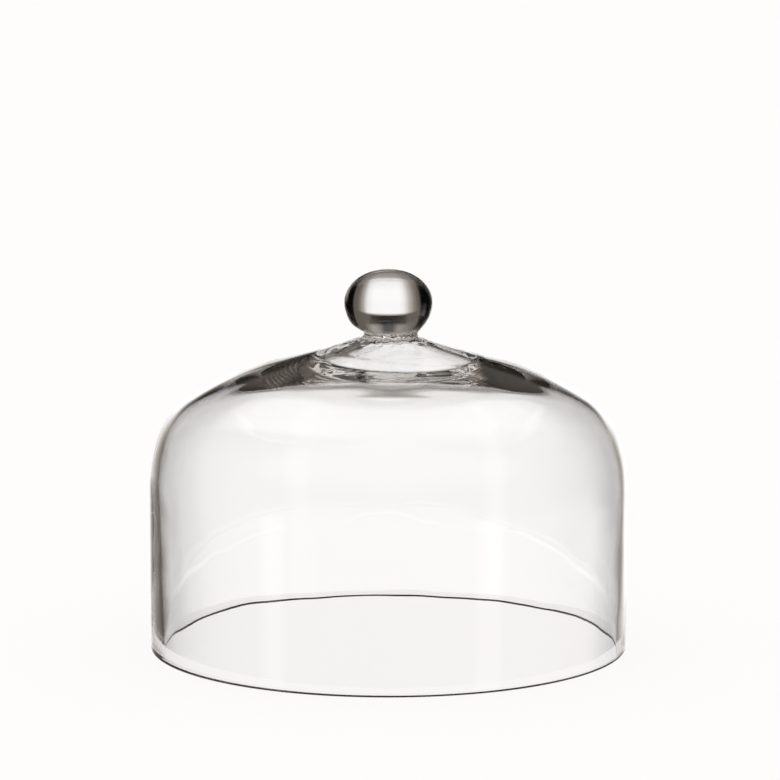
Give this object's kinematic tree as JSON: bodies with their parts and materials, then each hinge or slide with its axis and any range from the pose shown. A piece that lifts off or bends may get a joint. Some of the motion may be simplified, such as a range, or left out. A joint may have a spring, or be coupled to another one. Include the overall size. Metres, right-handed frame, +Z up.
{
  "type": "glass food cover dome",
  "caption": "Clear blown-glass food cover dome with a straight wall, rounded shoulder, sloping crown and a solid glass ball knob on a pinched neck.",
  "frame": {"origin": "centre of the rim circle, on the plane that the dome stands on", "axes": "+Z up along the dome's axis towards the knob; the dome is turned about it, so +X and +Y are free; the picture looks along +Y"},
  "size_m": [0.29, 0.29, 0.2315],
  "materials": {
    "dome_glass": "clear, fire polished, ground rim",
    "knob_glass": "clear, fire polished"
  },
  "bodies": {
    "root": {"dome_shell": "dome_glass", "knob_neck": "knob_glass", "knob_ball": "knob_glass"}
  },
  "joints": []
}
